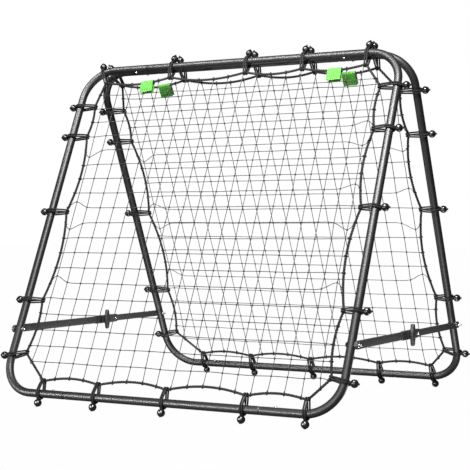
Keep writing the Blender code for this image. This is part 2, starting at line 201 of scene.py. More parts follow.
def sweep(bm, path, across, radii, sides, closed=False, capped=True):
    """A round section along a path. across is one direction, or one for each point, at right
    angles to it."""
    radii = radii if hasattr(radii, "__len__") else [radii] * len(path)
    rings, run, marks = [], 0.0, []
    for k, point in enumerate(path):
        after = path[(k + 1) % len(path)] if closed or k + 1 < len(path) else point
        before = path[k - 1] if closed or k else point
        along = (after - before).normalized()
        hint = across[k] if isinstance(across, list) else across
        side_way = along.cross(hint).normalized()
        rings.append(add_ring(bm, point, side_way, side_way.cross(along), radii[k], sides))
        run += (point - path[k - 1]).length if k else 0
        marks.append(run)
    marks.append(run + (path[0] - path[-1]).length)
    for k in range(len(rings) - (0 if closed else 1)):
        join_rings(bm, rings[k], rings[(k + 1) % len(rings)], marks[k], marks[k + 1], 2 * math.pi * radii[k])
    if capped and not closed:
        bm.faces.new(rings[0])
        bm.faces.new(rings[-1])
    return rings


def make_piece(name, bm, materials, body, stands_for=(), matrix=None, crease=35):
    """A mesh object in the world, smooth but for edges sharper than crease, riding on a body."""
    if matrix is not None:
        bmesh.ops.transform(bm, matrix=matrix, verts=bm.verts)
    bmesh.ops.recalc_face_normals(bm, faces=bm.faces)
    for face in bm.faces:
        face.smooth = True
    for edge in bm.edges:
        edge.smooth = edge.is_manifold and edge.calc_face_angle(0) < math.radians(crease)
    mesh = bpy.data.meshes.new(name)
    bm.to_mesh(mesh)
    bm.free()
    for material in materials if isinstance(materials, (list, tuple)) else [materials]:
        mesh.materials.append(material)
    piece = bpy.data.objects.new(name, mesh)
    bpy.context.collection.objects.link(piece)
    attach(piece, body)
    if stands_for:
        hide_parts(*stands_for)
    return piece


# Polyester powder coat, sprayed and baked: satin black. Its orange peel, about 1.5 mm across,
# is very shallow, so the highlight stays a soft unbroken line.
powder_coat = new_material("black_powder_coat")
where = add_node(powder_coat, "ShaderNodeTexCoord")
peel = add_node(
    powder_coat, "ShaderNodeTexNoise", {"Scale": 650.0, "Detail": 2.0, "Roughness": 0.5},
    Vector=where.outputs["Object"],
)
cloud = add_node(
    powder_coat, "ShaderNodeTexNoise", {"Scale": 22.0, "Detail": 3.0}, Vector=where.outputs["Object"]
)
shine = add_node(
    powder_coat, "ShaderNodeMapRange", {"To Min": 0.42, "To Max": 0.5}, Value=cloud.outputs["Fac"]
)
shade = add_node(
    powder_coat, "ShaderNodeMix", {"data_type": "RGBA", 6: from_hex("#0f0f10"), 7: from_hex("#141415")},
    {0: cloud.outputs["Fac"]},
)
skin = add_node(
    powder_coat, "ShaderNodeBump", {"Strength": 0.012, "Distance": 0.0002}, Height=peel.outputs["Fac"]
)
shader = add_node(
    powder_coat, "ShaderNodeBsdfPrincipled", {"IOR": 1.5, "Coat Weight": 0.08, "Coat Roughness": 0.3},
    Base_Color=shade.outputs[2], Roughness=shine.outputs[0], Normal=skin.outputs[0],
)
add_node(powder_coat, "ShaderNodeOutputMaterial", Surface=shader.outputs[0])


def arc(centre, a, b, radius, start, end, steps):
    for k in range(steps + 1):
        turn = math.radians(start + (end - start) * k / steps)
        yield centre + radius * (math.cos(turn) * a + math.sin(turn) * b)


def pipe(path, across, skin_radii, wall, sides):
    """A hollow tube: skin and bore, joined at its two ends."""
    bm = bmesh.new()
    skin_rings = sweep(bm, path, across, skin_radii, sides, capped=False)
    bore_rings = sweep(bm, path, across, [r - wall for r in skin_radii], sides, capped=False)
    join_rings(bm, skin_rings[0], bore_rings[0])
    join_rings(bm, skin_rings[-1], bore_rings[-1])
    return bm


for label, side in SIDES:
    on_frame = place_on_frame(side)
    for word, hand in HANDS:
        straight, out = FRAME_W / 2 - CORNER_R, hand * X
        lead = [SEAM_X, SEAM_X + 0.0007, SEAM_X + 0.02, straight - 0.03]
        path = [Vector((hand * s, 0, 0)) for s in lead]
        path += arc(Vector((hand * straight, 0, CORNER_R)), out, Z, CORNER_R, -90, 0, 22)
        path += arc(Vector((hand * straight, 0, FRAME_L - CORNER_R)), out, Z, CORNER_R, 0, 90, 22)
        path += [Vector((p.x, 0, FRAME_L)) for p in reversed(path[:4])]
        radii = [TUBE_R - 0.0006] + [TUBE_R] * (len(path) - 2) + [TUBE_R - 0.0006]
        make_piece(
            f"{label}_{word}_side_tube", pipe(path, Y, radii, TUBE_WALL, 40), powder_coat,
            f"{label}_frame", [f"{label}_side_tube_{word}"], on_frame,
        )
    for level, t in (("top", 0), ("bottom", FRAME_L)):
        swaged = TUBE_R - TUBE_WALL - 0.0003
        stops = [
            (SEAM_X + SWAGE_L, swaged - 0.001), (SEAM_X + SWAGE_L - 0.004, swaged),
            (SEAM_X - 0.0012, swaged),
        ]
        stops += [
            (
                SEAM_X - 0.0012 - 0.001 * k,
                swaged + (TUBE_R - swaged) * (0.5 - 0.5 * math.cos(k * math.pi / 6)),
            )
            for k in range(1, 7)
        ]
        stops += [(SEAM_X - 0.05, TUBE_R)]
        stops = [(-s, r) for s, r in stops] + [(s, r) for s, r in reversed(stops)]
        make_piece(
            f"{label}_{level}_cross_bar",
            pipe([Vector((s, 0, t)) for s, _ in stops], Y, [r for _, r in stops], TUBE_WALL, 40),
            powder_coat, f"{label}_frame", [f"{label}_{level}_bar"], on_frame,
        )


# ---------------------------------------------------------------------------
# Joint screws: zinc plated pan head self-tapping screws with a cross recess, one at each
# end of each bar, driven from the net's side through the side tube into the swaged bar.

SCREW_X = 0.412


def turned(bm, origin, axis, side_way, profile, sides, closed_ends=True):
    """A solid of revolution from (distance along the axis, radius) pairs."""
    across = axis.cross(side_way)
    rings = [add_ring(bm, origin + d * axis, side_way, across, r, sides) for d, r in profile]
    for (d0, r0), (d1, _), first, second in zip(profile, profile[1:], rings, rings[1:]):
        join_rings(bm, first, second, d0, d1, 2 * math.pi * r0)
    if closed_ends:
        bm.faces.new(rings[0])
        bm.faces.new(rings[-1])
    return rings


# Bright zinc plate, clear passivated: a slightly grey mirror, blurred by the grain of the
# steel under it, which is drawn 1 mm across so that it shows.
zinc_plate = new_material("bright_zinc_plated_steel")
where = add_node(zinc_plate, "ShaderNodeTexCoord")
grain = add_node(
    zinc_plate, "ShaderNodeTexNoise", {"Scale": 900.0, "Detail": 3.0}, Vector=where.outputs["Object"]
)
blur = add_node(
    zinc_plate, "ShaderNodeMapRange", {"To Min": 0.16, "To Max": 0.30}, Value=grain.outputs["Fac"]
)
dents = add_node(
    zinc_plate, "ShaderNodeBump", {"Strength": 0.08, "Distance": 0.0001}, Height=grain.outputs["Fac"]
)
shader = add_node(
    zinc_plate, "ShaderNodeBsdfPrincipled", {"Base Color": from_hex("#dcdcde"), "Metallic": 1.0},
    Roughness=blur.outputs[0], Normal=dents.outputs[0],
)
add_node(zinc_plate, "ShaderNodeOutputMaterial", Surface=shader.outputs[0])


def pan_head_screw(bm, at, axis, side_way, radius=0.0048, height=0.0032, shank=0.0050):
    """Shank, flange and domed head, whose crown steps down into a cross recess."""
    across = axis.cross(side_way)
    profile = [(-shank, 0.0014), (-shank + 0.0015, 0.0021), (0.0002, 0.0021), (0.0002, radius)]
    profile += [
        (
            0.0007 + (height - 0.0007) * math.sin(math.radians(a)),
            radius * (0.42 + 0.58 * math.cos(math.radians(a))),
        )
        for a in (0, 25, 50, 75)
    ]
    rings = turned(bm, at, axis, side_way, profile, 24, closed_ends=False)
    bm.faces.new(rings[0])
    crown = []
    for k in range(24):
        turn = 2 * math.pi * k / 24
        arm = 1.0 if k % 6 == 0 else 0.55 if k % 6 in (1, 5) else 0.42
        crown.append(
            bm.verts.new(
                at + (height + 0.0001) * axis + radius * 0.42 * arm * (
                    math.cos(turn) * side_way + math.sin(turn) * across
                )
            )
        )
    sunk = [
        bm.verts.new(v.co - 0.0014 * axis - 0.2 * (v.co - at - axis * (v.co - at).dot(axis)))
        for v in crown
    ]
    join_rings(bm, rings[-1], crown)
    join_rings(bm, crown, sunk)
    bm.faces.new(sunk)


for label, side in SIDES:
    for level, t, inward in (("top", 0, Z), ("bottom", FRAME_L, -Z)):
        for word, hand in HANDS:
            bm = bmesh.new()
            pan_head_screw(bm, Vector((hand * SCREW_X, 0, t)) + (TUBE_R + 0.0001) * inward, inward, X)
            make_piece(
                f"{label}_{level}_{word}_pan_screw", bm, zinc_plate, f"{label}_frame",
                [f"{label}_{level}_{word}_screw"], place_on_frame(side),
            )


# ---------------------------------------------------------------------------
# Border rope: 9 mm three-strand laid polyester, black, run round the edge of the net.
# The bungees hold it out towards the tube, and the net's pull bows it in between them.

BALL_OUT, BALL_R = 0.0318, 0.013
TOP_AT = (-0.565, -0.260, 0.045, 0.263, 0.497)
BOTTOM_AT = (-0.461, -0.241, 0.019, 0.304, 0.518)
LEFT_AT = (0.150, 0.273, 0.573, 0.910, 1.115)
RIGHT_AT = (0.131, 0.287, 0.565, 0.910, 1.137)
ROPE_R = 0.0045
ROPE_BOW = 0.068


def bungee_place(edge, at):
    """Where a bungee crosses the tube's centre line, and the way out of the frame there."""
    straight = FRAME_W / 2 - CORNER_R
    if edge in ("top", "bottom"):
        beyond, hand, up = abs(at) - straight, math.copysign(1, at), -1 if edge == "top" else 1
        level = 0 if up < 0 else FRAME_L
        if beyond <= 0:
            return Vector((at, 0, level)), up * Z
        turn = math.asin(beyond / (CORNER_R + BALL_OUT))
        out = Vector((hand * math.sin(turn), 0, up * math.cos(turn)))
        return Vector((hand * straight, 0, level - up * CORNER_R)) + CORNER_R * out, out
    hand, beyond = (-1 if edge == "left" else 1), at - (FRAME_L - CORNER_R)
    if beyond <= 0:
        return Vector((hand * FRAME_W / 2, 0, at)), hand * X
    turn = math.asin(beyond / (CORNER_R + BALL_OUT))
    out = Vector((hand * math.cos(turn), 0, math.sin(turn)))
    return Vector((hand * straight, 0, FRAME_L - CORNER_R)) + CORNER_R * out, out


# ropes_in are how far inside the tube each bungee lets the rope hang; lowest_lift is how far
# the net has pulled the lowest side bungee up along the tube.
bungees = []
for edge, places, ropes_in, lowest_lift, way in (
    ("top", TOP_AT, (0.043,) * 5, 0, 1),
    ("right", RIGHT_AT, (0.057, 0.0525, 0.048, 0.0435, 0.043), 0.006, 1),
    ("bottom", BOTTOM_AT, (0.043,) * 5, 0, -1),
    ("left", LEFT_AT, (0.064, 0.064, 0.064, 0.064, 0.056), 0.014, -1),
):
    for number, (at, rope_in) in list(enumerate(zip(places, ropes_in), 1))[::way]:
        point, out = bungee_place(edge, at)
        bungees.append((edge, number, point, out, rope_in, lowest_lift if number == 5 else 0))


def smooth_curve(points, steps, closed=False):
    """A curve through all the points, in even steps from each to the next."""
    count, curve = len(points), []
    for k in range(count if closed else count - 1):
        a = points[k - 1] if closed or k else points[0]
        b, c = points[k], points[(k + 1) % count]
        d = points[(k + 2) % count] if closed or k + 2 < count else points[-1]
        for step in range(steps):
            u = step / steps
            curve.append(
                0.5 * (
                    2 * b + (c - a) * u + (2 * a - 5 * b + 4 * c - d) * u * u
                    + (3 * b - a - 3 * c + d) * u ** 3
                )
            )
    return curve if closed else curve + [points[-1]]


rope_line = []
for k, (edge, number, point, out, rope_in, lift) in enumerate(bungees):
    next_edge, _, next_point, next_out, next_in, next_lift = bungees[(k + 1) % len(bungees)]
    here, there = point - rope_in * out - lift * Z, next_point - next_in * next_out - next_lift * Z
    span = there - here
    inward = -(out + next_out).normalized()
    bow = ROPE_BOW * span.length if edge == next_edge else 0
    for part in (0, 0.04, 0.12, 0.3, 0.5, 0.7, 0.88, 0.96):
        rope_line.append(here + part * span + 4 * bow * part * (1 - part) * inward)
rope_line = smooth_curve(rope_line, 6, closed=True)


def even_steps(path, gap, closed=False):
    """Points every gap metres along a path."""
    line = path + [path[0]] if closed else path
    total = sum((b - a).length for a, b in zip(line, line[1:]))
    count = max(2, round(total / gap))
    made, run, k = [], 0.0, 0
    for n in range(count if closed else count + 1):
        want = total * n / count
        while k < len(line) - 2 and run + (line[k + 1] - line[k]).length < want:
            run += (line[k + 1] - line[k]).length
            k += 1
        step = line[k + 1] - line[k]
        made.append(line[k] + step * min(1.0, (want - run) / max(step.length, 1e-9)))
    return made


# Laid polyester filament: near black, dull, with fine fibres along each strand.
# The fibres are drawn 0.7 mm apart so that they show.
laid_rope = new_material("black_laid_polyester_rope")
where = add_node(laid_rope, "ShaderNodeUVMap")
stretch = add_node(laid_rope, "ShaderNodeMapping", {"Scale": (120.0, 1400.0, 1.0)}, Vector=where.outputs[0])
fibre = add_node(laid_rope, "ShaderNodeTexNoise", {"Scale": 1.0, "Detail": 2.0}, Vector=stretch.outputs[0])
shade = add_node(
    laid_rope, "ShaderNodeMix", {"data_type": "RGBA", 6: from_hex("#050505"), 7: from_hex("#111112")},
    {0: fibre.outputs["Fac"]},
)
raised = add_node(
    laid_rope, "ShaderNodeBump", {"Strength": 0.4, "Distance": 0.0003}, Height=fibre.outputs["Fac"]
)
shader = add_node(
    laid_rope, "ShaderNodeBsdfPrincipled", {"Roughness": 0.75, "IOR": 1.55, "Specular IOR Level": 0.3},
    Base_Color=shade.outputs[2], Normal=raised.outputs[0],
)
add_node(laid_rope, "ShaderNodeOutputMaterial", Surface=shader.outputs[0])

LAY, STRAND_OUT, STRAND_R = 0.026, 0.0022, 0.0024
for label, side in SIDES:
    bm = bmesh.new()
    turns = round(sum((b - a).length for a, b in zip(rope_line, rope_line[1:])) / LAY)
    core = even_steps(rope_line, LAY / 9, closed=True)
    count = len(core)
    for strand in range(3):
        path, across = [], []
        for k, point in enumerate(core):
            along = (core[(k + 1) % count] - core[k - 1]).normalized()
            turn = 2 * math.pi * (turns * k / count + strand / 3)
            away = math.cos(turn) * along.cross(Y) + math.sin(turn) * Y
            path.append(point + STRAND_OUT * away)
            across.append(away)
        sweep(bm, path, across, STRAND_R, 7, closed=True)
    make_piece(
        f"{label}_border_rope", bm, laid_rope, f"{label}_frame", [f"{label}_border_rope_and_bungees"],
        place_on_frame(side),
    )


# ---------------------------------------------------------------------------
# Nets: square mesh of 2.6 mm twisted polyethylene twine, 57 mm knot to knot, its edge
# meshes lashed round the border rope. Pulled tight, with small uneven pulls at the edge.

MESH_X, MESH_SHIFT = 0.0566, 0.008
MESH_T, MESH_T0 = 0.0572, 0.0445
TWINE_R = 0.0013


def crossings(line, axis, level):
    """Where a closed line in the frame's plane meets x = level or z = level."""
    other, hits = 2 - axis, []
    for a, b in zip(line, line[1:] + line[:1]):
        if (a[axis] - level) * (b[axis] - level) < 0:
            share = (level - a[axis]) / (b[axis] - a[axis])
            hits.append(a[other] + share * (b[other] - a[other]))
    return min(hits), max(hits)


def net_points(seed):
    """Knots and edge ends of the net by column and row, settled to an even pull."""
    chance = random.Random(seed)
    columns = [MESH_SHIFT + MESH_X * (k - 9.5) for k in range(20)]
    rows = [MESH_T0 + MESH_T * k for k in range(1, 20)]
    spans = {("c", i): crossings(rope_line, 0, x) for i, x in enumerate(columns)}
    spans.update({("r", j): crossings(rope_line, 2, t) for j, t in enumerate(rows)})
    knots = {}
    for i, x in enumerate(columns):
        for j, t in enumerate(rows):
            inside = spans["c", i][0] + 0.012 < t < spans["c", i][1] - 0.012
            if inside and spans["r", j][0] + 0.012 < x < spans["r", j][1] - 0.012:
                knots[i, j] = Vector((x, 0, t))
    threads = []
    for i, x in enumerate(columns):
        low, high = (Vector((x + chance.uniform(-0.003, 0.003), 0, end)) for end in spans["c", i])
        threads.append([low] + [knots[i, j] for j in range(19) if (i, j) in knots] + [high])
    for j, t in enumerate(rows):
        low, high = (Vector((end, 0, t + chance.uniform(-0.003, 0.003))) for end in spans["r", j])
        threads.append([low] + [knots[i, j] for i in range(20) if (i, j) in knots] + [high])
    for knot in knots.values():
        knot += Vector(
            (
                chance.uniform(-0.0022, 0.0022),
                chance.uniform(-0.0006, 0.0006),
                chance.uniform(-0.0022, 0.0022),
            )
        )
    for _ in range(4):
        pulls = {}
        for thread in threads:
            for before, here, after in zip(thread, thread[1:], thread[2:]):
                pulls.setdefault(id(here), [here]).extend((before.copy(), after.copy()))
        for here, *near in pulls.values():
            settled = sum(near, Vector()) / len(near)
            here += 0.25 * (settled - here)
    return threads, list(knots.values())


# Twisted polyethylene monofilament: charcoal, waxy, with the twist showing as slanting lines
# 1 mm apart along the twine.
net_twine = new_material("charcoal_polyethylene_twine")
where = add_node(net_twine, "ShaderNodeUVMap")
twist = add_node(
    net_twine, "ShaderNodeMapping", {"Scale": (1000.0, 640.0, 1.0), "Rotation": (0, 0, 0.5)},
    Vector=where.outputs[0],
)
lines = add_node(
    net_twine, "ShaderNodeTexWave", {"Scale": 0.3, "Distortion": 0.6, "Detail": 1.0},
    Vector=twist.outputs[0],
)
shade = add_node(
    net_twine, "ShaderNodeMix", {"data_type": "RGBA", 6: from_hex("#0a0a0b"), 7: from_hex("#18181a")},
    {0: lines.outputs["Fac"]},
)
raised = add_node(
    net_twine, "ShaderNodeBump", {"Strength": 0.35, "Distance": 0.0002}, Height=lines.outputs["Fac"]
)
shader = add_node(
    net_twine, "ShaderNodeBsdfPrincipled", {"Roughness": 0.6, "IOR": 1.51},
    Base_Color=shade.outputs[2], Normal=raised.outputs[0],
)
add_node(net_twine, "ShaderNodeOutputMaterial", Surface=shader.outputs[0])

for label, side in SIDES:
    threads, knots = net_points(7 if side < 0 else 11)
    bm = bmesh.new()
    for number, thread in enumerate(threads):
        weave = 0.0007 if number < 20 else -0.0007
        path = [p + weave * Y for p in smooth_curve(thread, 3)]
        sweep(bm, path, Y, TWINE_R, 6)
        for end, towards in ((thread[0], thread[1]), (thread[-1], thread[-2])):
            way = (towards - end).normalized()
            loop = list(arc(end, way, Y, ROPE_R + TWINE_R + 0.0001, 0, 360 * 23 / 24, 23))
            slant = [p + (0.0016 * k / 23 - 0.0008) * way.cross(Y) for k, p in enumerate(loop)]
            sweep(bm, slant, way.cross(Y), TWINE_R, 5, closed=True)
            turned(
                bm, end + (ROPE_R + 0.0012) * way, way, Y,
                [(0, 0.0010), (0.0010, 0.0021), (0.0030, 0.0021), (0.0042, 0.0011)], 7,
            )
    for knot in knots:
        for way, thick in ((X, 0.0030), (Z, 0.0028)):
            turned(
                bm, knot - 0.0027 * way, way, Y,
                [(0, 0.0010), (0.0011, thick), (0.0027, thick * 1.12), (0.0043, thick), (0.0054, 0.0010)], 7,
            )
    make_piece(
        f"{label}_string_net", bm, net_twine, f"{label}_frame", [f"{label}_net"],
        place_on_frame(side),
    )


# ---------------------------------------------------------------------------
# Ball bungees: a doubled loop of 6 mm elastic goes round the tube and the border rope and
# hooks behind a glossy moulded ball outside the tube; its knot shows at the ball's far end.

# Injection moulded ABS, polished: black with sharp reflections.
ball_abs = new_material("gloss_black_moulded_abs")
where = add_node(ball_abs, "ShaderNodeTexCoord")
swirl = add_node(
    ball_abs, "ShaderNodeTexNoise", {"Scale": 180.0, "Detail": 2.0}, Vector=where.outputs["Object"]
)
gloss = add_node(ball_abs, "ShaderNodeMapRange", {"To Min": 0.20, "To Max": 0.30}, Value=swirl.outputs["Fac"])
shader = add_node(
    ball_abs, "ShaderNodeBsdfPrincipled", {"Base Color": from_hex("#101011"), "IOR": 1.54},
    Roughness=gloss.outputs[0],
)
add_node(ball_abs, "ShaderNodeOutputMaterial", Surface=shader.outputs[0])

# Braided polyester over latex: black, with a criss-cross braid drawn 2 mm across.
elastic_braid = new_material("black_braided_elastic")
where = add_node(elastic_braid, "ShaderNodeUVMap")
braid_a = add_node(
    elastic_braid, "ShaderNodeMapping", {"Scale": (160.0, 160.0, 1.0), "Rotation": (0, 0, 0.785)},
    Vector=where.outputs[0],
)
checks = add_node(elastic_braid, "ShaderNodeTexChecker", {"Scale": 3.0}, Vector=braid_a.outputs[0])
shade = add_node(
    elastic_braid, "ShaderNodeMix", {"data_type": "RGBA", 6: from_hex("#050506"), 7: from_hex("#131314")},
    {0: checks.outputs["Fac"]},
)
raised = add_node(
    elastic_braid, "ShaderNodeBump", {"Strength": 0.3, "Distance": 0.0003}, Height=checks.outputs["Fac"]
)
shader = add_node(
    elastic_braid, "ShaderNodeBsdfPrincipled", {"Roughness": 0.72, "IOR": 1.5, "Specular IOR Level": 0.3},
    Base_Color=shade.outputs[2], Normal=raised.outputs[0],
)
add_node(elastic_braid, "ShaderNodeOutputMaterial", Surface=shader.outputs[0])

ELASTIC_R = 0.0030
for label, side in SIDES:
    on_frame = place_on_frame(side)
    for edge, number, point, out, rope_in, lift in bungees:
        along = out.cross(Y)
        bm = bmesh.new()
        wrap, hug = ROPE_R + ELASTIC_R + 0.0002, TUBE_R + ELASTIC_R + 0.0006
        for strand in (-1, 1):
            half = [(0.0225, 0.0022, 0.0016), (0.0185, 0.0050, 0.0022)]
            half += [
                (hug * math.cos(math.radians(a)), hug * math.sin(math.radians(a)), 0.0034)
                for a in (42, 66, 90)
            ]
            half += [(-0.010, hug - 0.0003, 0.0036), (-rope_in + 0.006, wrap + 0.0016, 0.0038)]
            half += [(-rope_in, wrap, 0.0038), (-rope_in - 0.7 * wrap, 0.72 * wrap, 0.0038)]
            loop = half + [(-rope_in - wrap, 0, 0.0038)] + [(u, -v, w) for u, v, w in reversed(half)]
            path = smooth_curve([
                point + u * out + v * Y + strand * w * along + min(u, 0) / rope_in * lift * Z
                for u, v, w in loop
            ], 3)
            sweep(bm, path, along, ELASTIC_R, 8)
        for face in bm.faces:
            face.material_index = 1
        elastic_faces = set(bm.faces)
        profile = [(-0.0150, 0.0034), (-0.0146, 0.0044), (-0.0128, 0.0048), (-0.0119, 0.0052)]
        profile += [
            (
                BALL_R * math.sin(math.radians(a)),
                BALL_R * math.cos(math.radians(a)) + (0.00015 if a == 0 else 0),
            )
            for a in (-63, -54, -42, -30, -18, -8, -2, 0, 2, 8, 18, 30, 42, 54, 66, 74)
        ]
        profile += [(0.0120, 0.0044), (0.0126, 0.0038), (0.0146, 0.0037), (0.0164, 0.0029), (0.0174, 0.0014)]
        turned(bm, point + BALL_OUT * out, out, Y, profile, 28)
        for face in bm.faces:
            if face not in elastic_faces:
                face.material_index = 0
                reach = (face.calc_center_median() - point - BALL_OUT * out).dot(out)
                if reach > 0.0122:
                    face.material_index = 1
        bmesh.ops.transform(bm, matrix=on_frame, verts=bm.verts)
        for vert in bm.verts:
            vert.co.z = max(vert.co.z, 0.0)
        node = [f"{label}_bungee_bottom_{number}"] if edge == "bottom" else []
        make_piece(
            f"{label}_{edge}_ball_bungee_{number}", bm, [ball_abs, elastic_braid], f"{label}_frame",
            node,
        )


# ---------------------------------------------------------------------------
# Tags: a 50 mm wide strip of bright green woven polyester, folded over the top border rope and
# stitched through both flaps under it. Two on each net.

TAG_W, TAG_DROP, TAG_T, TAG_EASE = 0.050, 0.040, 0.0010, 0.0022
TAG_REACH = ROPE_R + TAG_EASE
TAG_AT = (-0.350, 0.388)
ACROSS_STEPS, FLAP_STEPS, FOLD_STEPS = 16, 14, 12
# Each row of the cloth: how far it hangs under the rope, and its turn round it in degrees.
TAG_ROWS = [(TAG_DROP * (1 - k / FLAP_STEPS), 0.0) for k in range(FLAP_STEPS)]
TAG_ROWS += [(0.0, 180.0 * k / FOLD_STEPS) for k in range(FOLD_STEPS + 1)]
TAG_ROWS += [(TAG_DROP * k / FLAP_STEPS, 180.0) for k in range(1, FLAP_STEPS + 1)]

# Woven polyester ribbon, piece dyed: bright green with a slight sheen. The yarns, really
# 0.4 mm apart, are drawn 1.2 mm apart so that the weave shows.
tag_cloth = new_material("bright_green_woven_polyester")
where = add_node(tag_cloth, "ShaderNodeUVMap")
warp = add_node(tag_cloth, "ShaderNodeMapping", {"Scale": (835.0, 835.0, 1.0)}, Vector=where.outputs[0])
threads_a = add_node(
    tag_cloth, "ShaderNodeTexWave", {"Scale": 0.32, "bands_direction": "X"}, Vector=warp.outputs[0]
)
threads_b = add_node(
    tag_cloth, "ShaderNodeTexWave", {"Scale": 0.32, "bands_direction": "Y"}, Vector=warp.outputs[0]
)
weave = add_node(
    tag_cloth, "ShaderNodeMath", {"operation": "MULTIPLY"},
    {0: threads_a.outputs["Fac"], 1: threads_b.outputs["Fac"]},
)
shade = add_node(
    tag_cloth, "ShaderNodeMix", {"data_type": "RGBA", 6: from_hex("#2f740f"), 7: from_hex("#3d8719")},
    {0: weave.outputs[0]},
)
raised = add_node(
    tag_cloth, "ShaderNodeBump", {"Strength": 0.25, "Distance": 0.0002}, Height=weave.outputs[0]
)
shader = add_node(
    tag_cloth, "ShaderNodeBsdfPrincipled", {
        "Roughness": 0.7, "IOR": 1.5, "Sheen Weight": 0.25, "Sheen Roughness": 0.4
    },
    Base_Color=shade.outputs[2], Normal=raised.outputs[0],
)
add_node(tag_cloth, "ShaderNodeOutputMaterial", Surface=shader.outputs[0])

# Bonded polyester sewing thread in a lighter green, twisted and shiny. Its plies are drawn
# 0.7 mm apart so that they show.
tag_thread = new_material("light_green_sewing_thread")
where = add_node(tag_thread, "ShaderNodeTexCoord")
ply = add_node(
    tag_thread, "ShaderNodeTexNoise", {"Scale": 1500.0, "Detail": 2.0}, Vector=where.outputs["Object"]
)
shade = add_node(
    tag_thread, "ShaderNodeMix", {"data_type": "RGBA", 6: from_hex("#2c6610"), 7: from_hex("#57a52e")},
    {0: ply.outputs["Fac"]},
)
shader = add_node(tag_thread, "ShaderNodeBsdfPrincipled", {"Roughness": 0.45}, Base_Color=shade.outputs[2])
add_node(tag_thread, "ShaderNodeOutputMaterial", Surface=shader.outputs[0])


def cloth_point(hang, row, share, lift):
    """A point of a tag, share of the way across it, lift outside its inner face."""
    centre, along, number, lean = hang
    down = along.cross(Y)
    drop, turn = TAG_ROWS[row]
    wave = 0.0011 * math.sin(2 * math.pi * (share * 1.3 + 0.1 * number)) * (drop / TAG_DROP) ** 1.5
    curl = 0.0012 * (2 * share - 1) ** 2 * (drop / TAG_DROP)
    out_of_net = TAG_REACH + lift - 0.0010 * (drop / TAG_DROP) ** 0.6
    sway = (wave + curl * (1 if turn < 90 else -1)) * (1 if 0 < drop else 0)
    spot = centre + (share - 0.5) * TAG_W * along
    angle = math.radians(turn)
    spot += out_of_net * (math.cos(angle) * Y - math.sin(angle) * down)
    return spot + drop * down + max(sway, -0.0008) * math.cos(angle) * Y + 0.02 * lean * drop * along


top_rope = [p for p in rope_line if p.z < 0.2]
for label, side in SIDES:
    on_frame = place_on_frame(side)
    for number, at in enumerate(TAG_AT, 1):
        before, after = next((a, b) for a, b in zip(top_rope, top_rope[1:]) if a.x <= at <= b.x)
        along = (after - before).normalized()
        centre = before + along * ((at - before.x) / along.x)
        chance = random.Random(40 + number + (0 if side < 0 else 10))
        hang = (centre, along, number, chance.uniform(-0.4, 0.4))
        bm = bmesh.new()
        uv = bm.loops.layers.uv.verify()
        shares = [c / ACROSS_STEPS for c in range(ACROSS_STEPS + 1)]
        layers = []
        for lift in (0.0, TAG_T):
            layers.append([])
            for r in range(len(TAG_ROWS)):
                layers[-1].append([bm.verts.new(cloth_point(hang, r, share, lift)) for share in shares])
        run = [0.0]
        for r in range(1, len(TAG_ROWS)):
            run.append(
                run[-1] + (layers[1][r][ACROSS_STEPS // 2].co - layers[1][r - 1][ACROSS_STEPS // 2].co).length
            )
        for r in range(len(TAG_ROWS) - 1):
            for c in range(ACROSS_STEPS):
                for grid in layers:
                    face = bm.faces.new((grid[r][c], grid[r][c + 1], grid[r + 1][c + 1], grid[r + 1][c]))
                    for loop, (i, j) in zip(face.loops, ((r, c), (r, c + 1), (r + 1, c + 1), (r + 1, c))):
                        loop[uv].uv = (run[i], j / ACROSS_STEPS * TAG_W)
        low, high = layers
        for c in range(ACROSS_STEPS):
            for r in (0, len(TAG_ROWS) - 1):
                bm.faces.new((low[r][c], low[r][c + 1], high[r][c + 1], high[r][c]))
        for r in range(len(TAG_ROWS) - 1):
            for c in (0, ACROSS_STEPS):
                bm.faces.new((low[r][c], low[r + 1][c], high[r + 1][c], high[r][c]))
        tag = make_piece(
            f"{label}_green_tag_{number}", bm, tag_cloth, f"{label}_frame", [f"{label}_tag_{number}"],
            on_frame, crease=50,
        )
        bm = bmesh.new()
        for row in (4, len(TAG_ROWS) - 5):
            for row_shift in (0, 1):
                r = row + (row_shift if row < 10 else -row_shift)
                for k in range(11):
                    spot = cloth_point(hang, r, (k + 0.8) / 11.6, TAG_T + 0.0001)
                    turned(
                        bm, spot - 0.0014 * along, along, Y,
                        [(0, 0.0002), (0.0006, 0.0004), (0.0022, 0.0004), (0.0028, 0.0002)], 6,
                    )
        seam = make_piece(
            f"{label}_green_tag_{number}_seam", bm, tag_thread, f"{label}_frame", (),
            on_frame,
        )


# ---------------------------------------------------------------------------
# Hinges: two between the top bars, each a pair of 2.5 mm steel saddles spot welded to the
# bars, with rolled knuckles on a steel pin. Powder coated with the frames.

HINGE_AT, HINGE_W = (-0.150, 0.150), 0.044
BARREL_R, PIN_R, KNUCKLE, SADDLE_T = 0.008, 0.003, 0.013, 0.0025


def bent_strip(bm, path, spread, halves, thick):
    """A strip of sheet metal along a path. spread is the way its width runs, halves its half
    widths."""
    rings = []
    for k, point in enumerate(path):
        after, before = path[min(k + 1, len(path) - 1)], path[max(k - 1, 0)]
        face_way = (after - before).normalized().cross(spread)
        rings.append(
            [
                bm.verts.new(point + across * halves[k] * spread + up * thick / 2 * face_way)
                for across, up in ((-1, -1), (1, -1), (1, 1), (-1, 1))
            ]
        )
    for first, second in zip(rings, rings[1:]):
        join_rings(bm, first, second)
    bm.faces.new(rings[0])
    bm.faces.new(rings[-1])


def soften(piece, width):
    bevel = piece.modifiers.new("rounded_edges", "BEVEL")
    bevel.width, bevel.segments, bevel.limit_method = width, 2, "ANGLE"
    bevel.angle_limit = math.radians(40)
    bevel.harden_normals = False


